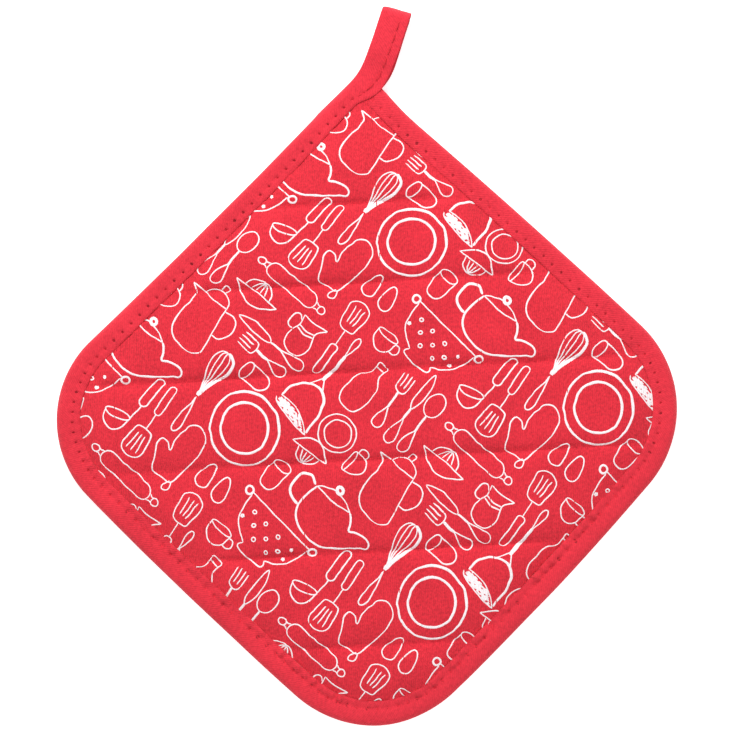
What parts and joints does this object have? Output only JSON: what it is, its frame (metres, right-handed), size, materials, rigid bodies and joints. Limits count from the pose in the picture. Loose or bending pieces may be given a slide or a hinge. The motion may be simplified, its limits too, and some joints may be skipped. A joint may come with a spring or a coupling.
{
  "type": "quilted potholder",
  "caption": "Square quilted fabric potholder with a bound edge and a corner hanging loop that swings; the pad folds in half across its quilting.",
  "frame": {"origin": "on the surface it lies on, under the middle of the pad", "axes": "+X along the rows of quilting, +Y towards the corner with the loop, +Z out of the printed face"},
  "size_m": [0.2465, 0.2851, 0.0079],
  "materials": {
    "printed_cotton": "red cotton twill with white line drawings printed on it",
    "back_cotton": "plain red cotton twill",
    "wadding": "off-white fibre wadding",
    "binding_cotton": "plain red cotton tape",
    "thread": "red sewing thread"
  },
  "bodies": {
    "pad_upper": {"front_panel_upper": "printed_cotton", "wadding_upper": "wadding", "back_panel_upper": "back_cotton", "binding_upper": "binding_cotton", "binding_stitch_upper": "thread", "bobbin_threads_upper": "thread", "column_thread_1_upper": "thread", "column_thread_2_upper": "thread", "column_thread_3_upper": "thread", "column_thread_4_upper": "thread", "column_thread_5_upper": "thread", "column_thread_6_upper": "thread", "row_thread_1": "thread", "row_thread_2": "thread", "row_thread_3": "thread", "row_thread_4": "thread", "loop_base": "binding_cotton"},
    "pad_lower": {"front_panel_lower": "printed_cotton", "wadding_lower": "wadding", "back_panel_lower": "back_cotton", "binding_lower": "binding_cotton", "binding_stitch_lower": "thread", "bobbin_threads_lower": "thread", "column_thread_1_lower": "thread", "column_thread_2_lower": "thread", "column_thread_3_lower": "thread", "column_thread_4_lower": "thread", "column_thread_5_lower": "thread", "column_thread_6_lower": "thread", "row_thread_5": "thread", "row_thread_6": "thread"},
    "loop": {"hanging_loop": "binding_cotton", "loop_stitch": "thread"}
  },
  "joints": [
    {"name": "pad_fold", "type": "hinge", "parent": "pad_upper", "child": "pad_lower", "pos_m": [0, -0.0186, 0.0078], "axis": [-1, 0, 0], "range_deg": [0, 175]},
    {"name": "loop_swing", "type": "hinge", "parent": "pad_upper", "child": "loop", "pos_m": [0.0087, 0.1341, 0.0029], "axis": [0.9455, -0.3256, 0], "range_deg": [-105, 105], "stiffness_Nm_per_rad": 0.002}
  ]
}
